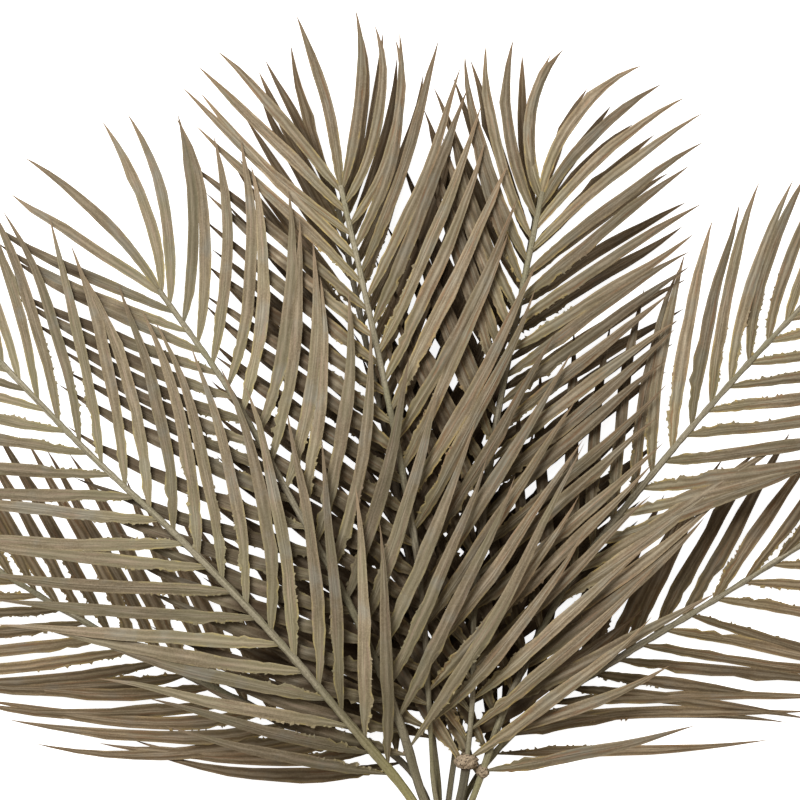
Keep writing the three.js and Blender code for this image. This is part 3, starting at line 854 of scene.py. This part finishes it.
# A tube is modelled once for ribs and twine strands: a cylinder whose long edges are cut up in rounds
def makeTubeMaster(name, sides, rounds):
    selectNothing()
    bpy.ops.mesh.primitive_cylinder_add(vertices=sides, radius=1, depth=1, location=(0, 0, 0.5))
    tube = bpy.context.object
    tube.name = name
    bpy.ops.object.transform_apply(location=True, rotation=False, scale=False)
    for pieces in rounds:
        for edge in tube.data.edges:
            here, there = [tube.data.vertices[i].co.z for i in edge.vertices]
            edge.select = not math.isclose(here, there, abs_tol=1e-6)
        bpy.ops.object.mode_set(mode="EDIT")
        bpy.ops.mesh.select_mode(type="EDGE")
        bpy.ops.mesh.subdivide(number_cuts=pieces - 1)
        bpy.ops.mesh.select_all(action="DESELECT")
        bpy.ops.object.mode_set(mode="OBJECT")
    tube.data.uv_layers[0].name = "leafMap"
    bpy.ops.object.shade_smooth_by_angle(angle=smoothUpTo)
    return tube


# Where a tube's corners go when it follows a path, each ring upright to it
def tubeAlong(tube, centres, radii, outward):
    places = verticesOf(tube)
    share = places[:, 2] * (len(centres) - 1)
    steps = np.arange(len(centres))
    forward = unitRows(np.gradient(centres, axis=0))
    side = unitRows(np.cross(forward, outward))
    sideways, upwards = rowsAt(share, steps, side), rowsAt(share, steps, np.cross(side, forward))
    radius = np.interp(share, steps, radii)[:, None]
    return rowsAt(share, steps, centres) + radius * (places[:, :1] * sideways + places[:, 1:2] * upwards)


leafletDetail = {
    "firstSeed": 700, "tone": (0.5, 0.22), "archHeight": 4.2, "twist": 12, "twistFrom": 0.3,
    "widthJitter": 0.07, "lean": 0.16, "ripple": 0.05, "rippleWaves": (1.5, 3),
    "narrowFrom": 0.45, "narrowTo": 0.83, "fullBase": 0.2, "fullTo": 0.42, "thinTip": 0.75,
    "stalkReach": 0.2, "stalkWidth": 0.5, "stalkUpTo": 0.25,
    "lineSteps": 40, "sway": 2.2, "leastSway": 0.3, "swayWaves": (1.0, 2.4), "hook": 7, "hookFrom": 0.7,
    "tear": 0.34, "calmEdge": 0.055, "wornFrom": (0.04, 0.12), "wornTo": (0.2, 0.6), "wornUpTo": (0.6, 1),
    "lobeShare": 0.45, "lobe": 0.3, "lobeAt": (0.07, 0.2), "lobeReach": 0.03,
    "spurShare": 0.3, "spur": 0.4, "spurAt": (0.5, 0.9),
}


# How far out a leaflet's corners are: less up the frond and at its stalk, with a lean and a ripple
def leafletWidths(across, share, along, slim, hand):
    detail = leafletDetail
    narrowed = mix(1, detail["narrowTo"], smoothStep(detail["narrowFrom"], 1, along))
    across = across * (slim * narrowed * (1 + detail["widthJitter"] * hand.uniform(-1, 1)))
    full = detail["fullTo"] - share
    across *= 1 + (1 - along) * full * np.where(full > 0, detail["fullBase"], detail["thinTip"])
    stalk = 1 - smoothStep(0, detail["stalkReach"], share)
    across *= mix(1, detail["stalkWidth"], stalk * (1 - smoothStep(0, detail["stalkUpTo"], along)))
    across *= 1 + detail["lean"] * hand.uniform(-1, 1) * np.sign(across)
    ripples = hand.uniform(*detail["rippleWaves"]) * share + hand.random()
    return across * (1 + detail["ripple"] * np.sin(2 * math.pi * ripples))


# The line that a leaflet follows in plan, and its heading there, which curls, sways and may hook
def leafletLine(root, share, heading, length, curl, hand):
    detail = leafletDetail
    steps = detail["lineSteps"]
    reach = np.linspace(0, 1, steps + 1)
    sway = math.radians(detail["sway"]) * hand.uniform(detail["leastSway"], 1)
    phase, waves = hand.random(), hand.uniform(*detail["swayWaves"])
    hook = math.radians(detail["hook"]) * hand.uniform(-1, 1)
    facing = heading + curl * (0.5 - reach) + sway * np.sin(2 * math.pi * (waves * reach + phase))
    facing = facing + hook * smoothStep(detail["hookFrom"], 1, reach)
    middles = (facing[1:] + facing[:-1]) / 2
    x = np.concatenate([[0], np.cumsum(np.sin(middles))]) * length / steps
    y = np.concatenate([[0], np.cumsum(np.cos(middles))]) * length / steps
    x, y, facing = rowsAt(share, reach, np.stack([x, y, facing], axis=1)).T
    return root[0] + x, root[1] + y, facing


# Wear the edges down: one of them is torn near the root, some have a lobe there and some a spur
def tearEdges(across, share, along, hand):
    detail = leafletDetail
    torn = hand.choice((-1, 1))
    lobeAt, lobeSize = hand.uniform(*detail["lobeAt"]), detail["lobe"] * hand.random()
    lobed = hand.random() < detail["lobeShare"]
    worn = smoothStep(*detail["wornFrom"], share) * (1 - smoothStep(*detail["wornTo"], share))
    worn = worn * (1 - smoothStep(*detail["wornUpTo"], along))
    corners = np.flatnonzero(across)
    for i in corners:
        onTorn = across[i] * torn > 0
        tear = mix(detail["calmEdge"], detail["tear"] if onTorn else detail["calmEdge"] * 2, worn[i])
        grow = 1 + tear * hand.uniform(-1, 1)
        if lobed and onTorn:
            grow += lobeSize * math.exp(-((share[i] - lobeAt) / detail["lobeReach"]) ** 2)
        across[i] *= grow
    if hand.random() < detail["spurShare"]:
        low, high = detail["spurAt"]
        across[hand.choice([i for i in corners if low < share[i] < high])] *= 1 + detail["spur"]
    return torn


# Where a leaflet's corners go: along its own line over the frond's layer, arched, banked and torn.
# For the crumbs it also gives the torn edge, moved in a little, and the shares of the length there.
def leafletPlaces(frond, master, root, along, heading, length, curl, bank, slim, hand):
    detail = leafletDetail
    places = verticesOf(master)
    share, relief = places[:, 1], places[:, 2] / mm
    across = leafletWidths(places[:, 0] / mm, share, along, slim, hand)
    x, y, facing = leafletLine(root, share, heading, length, curl, hand)
    torn = tearEdges(across, share, along, hand)
    scale = openness(x, y) * droop(x, y)
    twist = math.radians(detail["twist"]) * hand.uniform(-1, 1)
    banked = np.tan(bank + twist * (share - detail["twistFrom"]))
    lift = detail["archHeight"] * np.sin(math.pi * share) * scale
    x = x + np.cos(facing) * across
    y = y - np.sin(facing) * across
    z = layerHeight(frond, x, y) + lift + banked * across * scale + relief
    lowest = np.where(relief > 0, leafletShape["thickness"], 0)
    placed = np.stack([x, y, np.maximum(z, lowest)], axis=1) * mm
    edge, middle = np.flatnonzero(across * torn > 0), np.flatnonzero(across == 0)
    edge, middle = edge[np.argsort(share[edge])], middle[np.argsort(share[middle])]
    inward = rowsAt(share[edge], share[middle], placed[middle])
    return placed, mix(placed[edge], inward, crumbShape["inset"]), share[edge]


ribShape = {
    "steps": 240, "sides": 8, "rounds": (12, 10), "tipRadius": 2.0, "taperFrom": 0.25, "taperTo": 1.02,
    "knot": 0.3, "knotReach": 5, "wobble": 0.08, "waves": 3, "waveLength": (9, 40),
    "stoutFrom": 16, "stoutBy": 45, "stoutTo": (90, 190),
    "thin": (90, 1), "thinBlend": 4, "thinTo": (190, 300),
}


# How much a place belongs to the bare stem: 0 in the tie and out in the fan
def stemShare(frond, distances):
    fromTie = np.abs(distances + frond["cut"])
    grown = smoothStep(ribShape["stoutFrom"], ribShape["stoutBy"], fromTie)
    bareTo, fanFrom = frond["stem"].get("upTo", ribShape["stoutTo"])
    return grown * (1 - smoothStep(bareTo, fanFrom, fromTie))


# Where a rib's corners go: along its route, tapering, with a knot at each leaflet and a slight wobble
def ribPlaces(frond, tube, path, reached, roots, hand):
    shape, stem = ribShape, frond["stem"]
    distances = np.linspace(0, reached[-1], shape["steps"])
    x, y = rowsAt(distances, reached, path).T
    taper = smoothStep(shape["taperFrom"], shape["taperTo"], distances / reached[-1])
    radius = mix(pile["stemRadius"], shape["tipRadius"], taper)
    radius = radius * mix(1, stem["stout"], stemShare(frond, distances))
    fromTie = distances + frond["cut"]
    thinFrom, thinness = stem.get("thin", shape["thin"])
    thin = smoothStep(thinFrom - shape["thinBlend"], thinFrom + shape["thinBlend"], fromTie)
    radius = radius * mix(1, thinness, thin * (1 - smoothStep(*shape["thinTo"], fromTie)))
    nearest = np.min(np.hypot(x[:, None] - roots[:, 0], y[:, None] - roots[:, 1]), axis=1)
    knots = shape["knot"] * np.exp(-(nearest / shape["knotReach"]) ** 2)
    waves = sum(
        math.cos(hand.uniform(*anyTurn)) * np.sin(distances / hand.uniform(*shape["waveLength"]) + k)
        for k in range(shape["waves"])
    )
    radius = radius * (1 + (knots + shape["wobble"] * waves / shape["waves"]) * openness(x, y))
    height = np.maximum(layerHeight(frond, x, y), radius)
    centres = np.stack([x, y, height], axis=1) * mm
    return tubeAlong(tube, centres, radius * mm, np.array([0, 0, 1.0]))


knobShape = {"subdivisions": 4, "dents": (2.2, 0.28), "pits": (7, 0.13), "shift": 9, "flat": 0.8}


# A rough knob on a stem, where leaflets were cut away: a dented sphere with small pits
def makeKnob(frond, knob, path, reached, hand):
    fromTie, halfWidth, halfLength = knob
    selectNothing()
    bpy.ops.mesh.primitive_ico_sphere_add(subdivisions=knobShape["subdivisions"], radius=1)
    lump = bpy.context.object
    bpy.ops.object.shade_smooth_by_angle(angle=smoothUpTo)
    lump.data.uv_layers[0].name = "leafMap"
    places = verticesOf(lump)
    shift = Vector((hand.random(), hand.random(), hand.random())) * knobShape["shift"]
    for i, place in enumerate(places):
        swell = 1
        for fineness, depth in (knobShape["dents"], knobShape["pits"]):
            swell += depth * noise.noise(Vector(place) * fineness + shift)
        places[i] = place * swell
    x, y = rowsAt(fromTie - frond["cut"], reached, path)
    centre = np.array([x, y, float(layerHeight(frond, x, y))])
    places = centre + places * [halfWidth, halfLength, halfWidth * knobShape["flat"]]
    numbers = {"leafDraw": hand.random(), "leafTone": 0.5, "stemRough": 1}
    copied = copyReshaped(lump, "knob", places * mm, numbers, ribMaterial)
    bpy.data.objects.remove(lump)
    return copied


def makeFrond(frond, order, leafletMaster, crumbMaster, ribMaster):
    path, reached = ribPath(frond)
    hand = random.Random(leafletDetail["firstSeed"] + order)
    leafMaterial = leafMaterials[frond["leaf"]]
    orders = crumbOrders(crumbMaster)
    leaflets, roots = [], []
    for root, heading, length, curl, share, bank, slim in leafletsOf(frond, order, path, reached):
        places, edge, edgeShare = leafletPlaces(
            frond, leafletMaster, root, share, heading, length, curl, bank, slim, hand)
        numbers = {"leafDraw": hand.random(), "leafTone": min(1, max(0, hand.gauss(*leafletDetail["tone"])))}
        leaflets.append(copyReshaped(leafletMaster, "leaflet", places, numbers, leafMaterial))
        if share < crumbShape["upTo"] and hand.random() < crumbShape["share"]:
            crumbs = crumbPlaces(crumbMaster, orders, edge, edgeShare, hand)
            leaflets.append(copyReshaped(crumbMaster, "crumbs", crumbs, numbers, leafMaterial))
        roots.append(root)
    places = ribPlaces(frond, ribMaster, path, reached, np.array(roots), hand)
    stem = frond["stem"]
    onStem = stemShare(frond, verticesOf(ribMaster)[:, 2] * reached[-1])
    numbers = {
        "leafDraw": hand.random(), "leafTone": 0.5,
        "stemGreen": stem["green"] * onStem, "stemDark": stem["dark"] * onStem,
    }
    rib = copyReshaped(ribMaster, "rib", places, numbers, ribMaterial)
    knobs = [makeKnob(frond, knob, path, reached, hand) for knob in stem.get("knobs", [])]
    piece = joinParts([rib] + knobs + leaflets, "dried_" + frond["name"])
    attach(piece, "root")
    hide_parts(frond["name"])
    return piece


# How much of the sky the leaves above hide, from 0 to 1, at each corner of each frond, kept for the painted
# shade
pileShade = {"reach": 70, "lift": 2.6, "tilts": (20, 45, 65), "around": 5}


def markPaintedShade(pieces):
    corners, faces = [], []
    for piece in pieces:
        faces += [[len(corners) + i for i in polygon.vertices] for polygon in piece.data.polygons]
        corners += [vertex.co for vertex in piece.data.vertices]
    tree = BVHTree.FromPolygons(corners, faces)
    looks = []
    for tilt in pileShade["tilts"]:
        flat, upright = math.sin(math.radians(tilt)), math.cos(math.radians(tilt))
        for k in range(pileShade["around"]):
            turn = 2 * math.pi * k / pileShade["around"] + tilt
            looks.append(Vector((flat * math.cos(turn), flat * math.sin(turn), upright)))
    lift = Vector((0, 0, pileShade["lift"] * mm))
    reach = pileShade["reach"] * mm
    for piece in pieces:
        hidden = [
            sum(tree.ray_cast(vertex.co + lift, look, reach)[0] is not None for look in looks)
            for vertex in piece.data.vertices
        ]
        setNumbers(piece.data, "paintedShadeShare", np.array(hidden) / len(looks))


leafletMaster = makeLeafletMaster()
crumbMaster = makeCrumbMaster()
ribMaster = makeTubeMaster("ribMaster", ribShape["sides"], ribShape["rounds"])
dried = []
for order, frond in enumerate(fronds):
    dried.append(makeFrond(frond, order, leafletMaster, crumbMaster, ribMaster))
    print("Frond made:", frond["name"], len(dried[-1].data.polygons), "faces")
# Painted shade: the share of hidden sky at every corner of every frond
markPaintedShade(dried)
print("Depth in the pile marked")


# Tie: seven turns of three-ply twine round the stems
twineShape = {
    "turns": 7, "strands": 3, "strandRadius": 0.56, "strandOffset": 0.64, "twistsPerTurn": 10,
    "stepFrom": 0.78, "sides": 6, "rounds": (7, 12, 10),
}
twineLook = {
    "dark": (0.22, 0.145, 0.062), "pale": (0.56, 0.42, 0.22), "specks": 0.4,
    "roughness": 0.85, "specular": 0.15, "bump": 0.6, "bumpDepth": 0.3, "fineness": 8.0, "stretch": 90.0,
}


def makeTwineMaterial():
    look = twineLook
    material, tree, surface, masks = startMaterial("juteTwine", look)
    body = addColours(tree, masks["Streaks"], look["dark"], look["pale"])
    body = layOver(tree, body, masks, look, [("Specks", "specks", "dark")])
    feed(tree, surface, {"Base Color": body, "Normal": addBump(tree, masks["Streaks"], look)})
    return material


# The middle line of the twine and the way out from the stems, at shares of one turn from the top
def turnLine(shares):
    half = 1.5 * rowPitch - pile["clearance"] / 2 - pile["stemRadius"]
    corner = pile["stemRadius"] + pile["clearance"] + pile["twineThickness"] / 2
    middle = firstRow + rowPitch
    quarter = 2 * half + corner * math.pi / 2
    places, outward = [], []
    for share in shares:
        side, within = divmod((share * 4 * quarter + half) % (4 * quarter), quarter)
        bend = max(0, within - 2 * half) / corner
        normal = math.sin(bend), math.cos(bend)
        flat = min(within, 2 * half) - half + corner * normal[0], half + corner * normal[1]
        sine, cosine = math.sin(-side * math.pi / 2), math.cos(-side * math.pi / 2)
        (x, z), (nx, nz) = ((a * cosine - b * sine, a * sine + b * cosine) for a, b in (flat, normal))
        places.append((x, middle + z))
        outward.append((nx, 0, nz))
    return np.array(places), np.array(outward)


def makeTie():
    shape = twineShape
    material = makeTwineMaterial()
    strandMaster = makeTubeMaster("strandMaster", shape["sides"], shape["rounds"])
    count = math.prod(shape["rounds"]) + 1
    turned = np.linspace(0, shape["turns"], count)
    plan, outward = turnLine(turned % 1)
    whole = np.minimum(np.floor(turned), shape["turns"] - 1)
    stepped = whole + smoothStep(shape["stepFrom"], 1, turned - whole) * (whole < shape["turns"] - 1)
    start = (shape["turns"] - 1) / 2 * pile["twineThickness"]
    y = start - stepped * pile["twineThickness"]
    middle = np.stack([plan[:, 0], y, plan[:, 1]], axis=1)
    sideways = np.cross(unitRows(np.gradient(middle, axis=0)), outward)
    strands = []
    for k in range(shape["strands"]):
        twist = 2 * math.pi * (turned * shape["twistsPerTurn"] + k / shape["strands"])
        offset = np.cos(twist)[:, None] * outward + np.sin(twist)[:, None] * sideways
        centres = (middle + shape["strandOffset"] * offset) * mm
        places = tubeAlong(strandMaster, centres, np.full(count, shape["strandRadius"] * mm), outward)
        numbers = {"leafDraw": k / shape["strands"], "leafTone": 0.5}
        strands.append(copyReshaped(strandMaster, "strand", places, numbers, material))
    tie = joinParts(strands, "twine_tie")
    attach(tie, "root")
    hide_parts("tie")
    bpy.data.objects.remove(strandMaster)


makeTie()
for master in (leafletMaster, crumbMaster, ribMaster):
    bpy.data.objects.remove(master)
print("Tie made")
